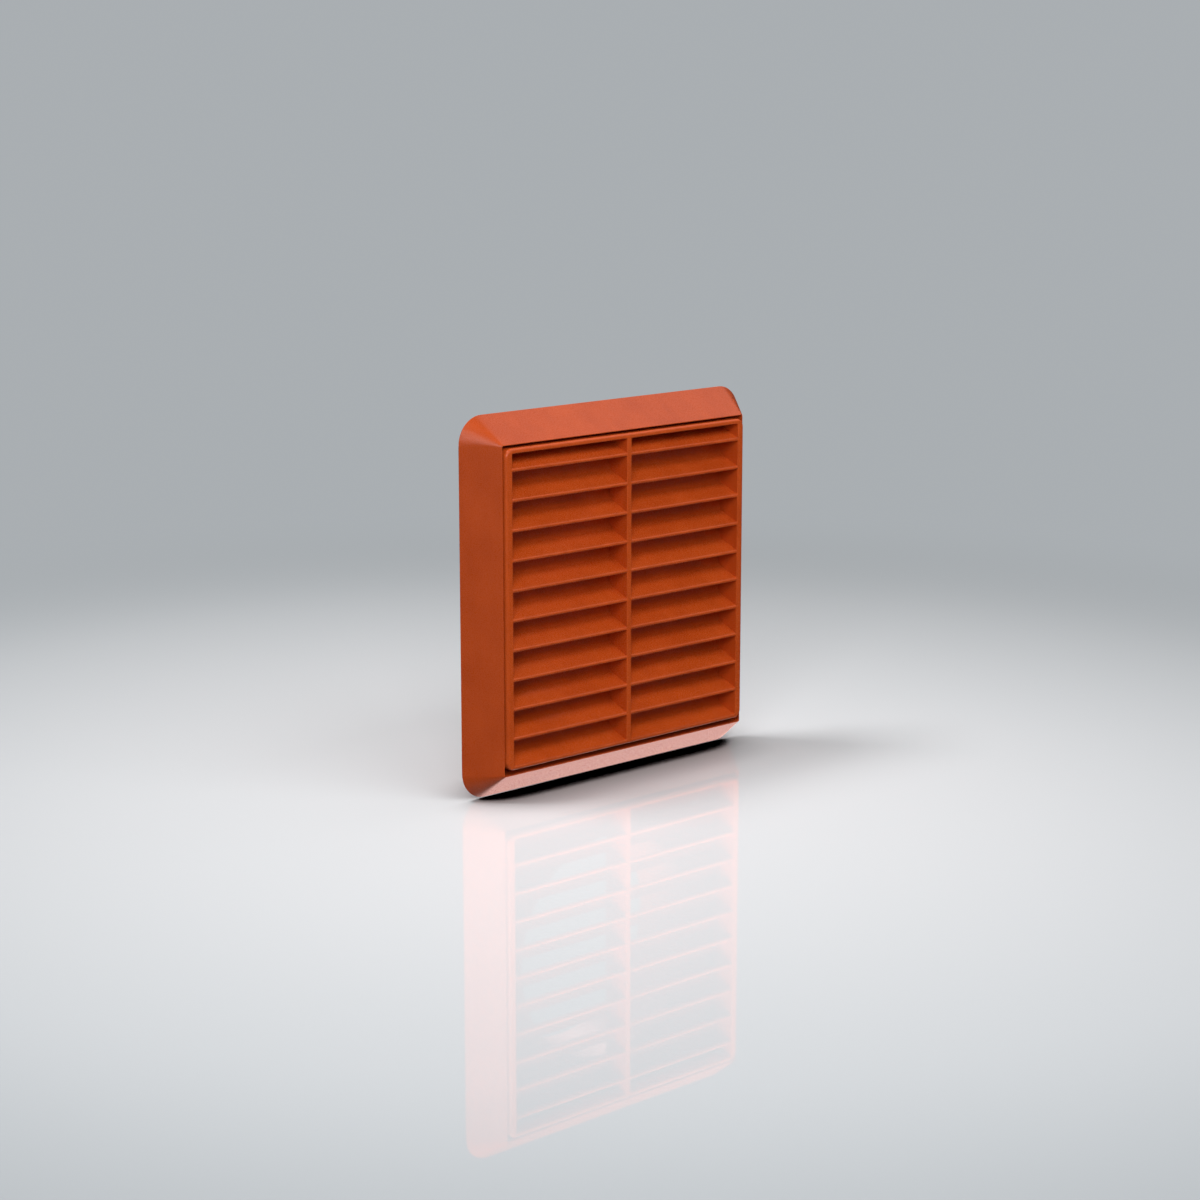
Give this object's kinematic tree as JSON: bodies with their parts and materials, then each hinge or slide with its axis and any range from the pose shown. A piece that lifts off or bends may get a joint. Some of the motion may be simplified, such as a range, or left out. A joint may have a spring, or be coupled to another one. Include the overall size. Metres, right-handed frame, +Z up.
{
  "type": "louvred ducting grille",
  "caption": "Square louvred wall grille with a sloping surround, a snap-in slatted panel and a round duct spigot.",
  "frame": {"origin": "centre of the flat back that lies against the wall, on the duct's axis", "axes": "+Z up, -Y out of the wall towards the room or street, where the slats face, and +Y into the wall along the duct spigot"},
  "size_m": [0.15, 0.0427, 0.15],
  "materials": {
    "surround": "satin moulded terracotta plastic",
    "louvre_panel": "satin moulded terracotta plastic"
  },
  "bodies": {
    "root": {"surround": "surround", "louvre_panel": "louvre_panel"}
  },
  "joints": []
}
